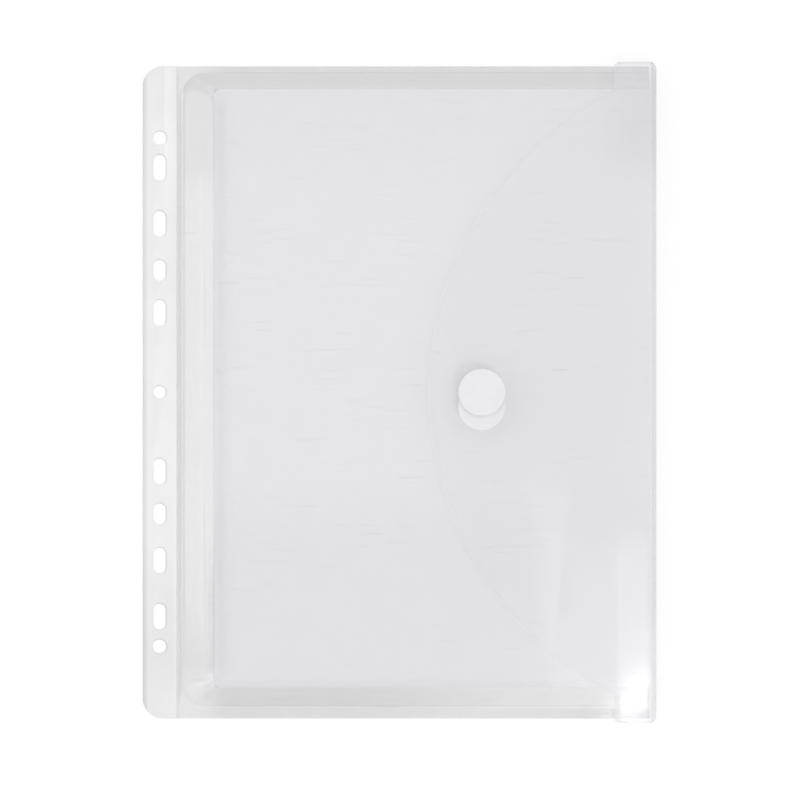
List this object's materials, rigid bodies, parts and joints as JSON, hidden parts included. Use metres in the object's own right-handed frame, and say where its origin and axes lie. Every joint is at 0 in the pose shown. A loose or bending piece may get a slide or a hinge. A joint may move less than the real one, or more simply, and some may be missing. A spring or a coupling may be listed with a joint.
{
  "type": "clear plastic sleeve",
  "caption": "Clear A4 ring-binder wallet with a punched binding strip, a pocket on an expanding gusset, and a curved fold-over flap held by a hook-and-loop coin.",
  "frame": {"origin": "under the middle of the wallet's outline, on the plane that the back sheet lies on", "axes": "+X from the binding strip to the folded edge with the flap, +Y up the page, +Z away from the table, through the pocket to the flap"},
  "size_m": [0.2429, 0.31, 0.0111],
  "materials": {
    "clear_sheet": "clear, faintly grey soft plastic sheet, glossy, with fine handling marks",
    "strip_plastic": "milky, finely grained plastic strip, satin",
    "adhesive_film": "thin double-sided adhesive disc, hazy",
    "loop_pile": "white brushed loop pile",
    "hook_plastic": "white woven base with fine plastic hooks"
  },
  "bodies": {
    "back": {"back_panel": "clear_sheet", "binding_strip": "strip_plastic", "weld_rim": "clear_sheet", "gusset": "clear_sheet"},
    "front": {"front_panel": "clear_sheet", "loop_coin": "loop_pile", "loop_coin_film": "adhesive_film"},
    "spine": {"flap_spine": "clear_sheet"},
    "flap": {"flap": "clear_sheet", "hook_coin": "hook_plastic", "hook_coin_film": "adhesive_film"}
  },
  "joints": [
    {"name": "gusset_expand", "type": "slide", "parent": "back", "child": "front", "axis": [0, 0, 1], "range_m": [-0.0074, 0], "stiffness_N_per_m": 120, "springref_m": 0.0015, "deforming": ["gusset"]},
    {"name": "spine_fold", "type": "hinge", "parent": "back", "child": "spine", "pos_m": [0.1214, 0, 0.0001], "axis": [0, 1, 0], "range_deg": [0, 108.3]},
    {"name": "flap_fold", "type": "hinge", "parent": "spine", "child": "flap", "pos_m": [0.1178, 0, 0.01098], "axis": [0, 1, 0], "range_deg": [0, 71.7]}
  ]
}
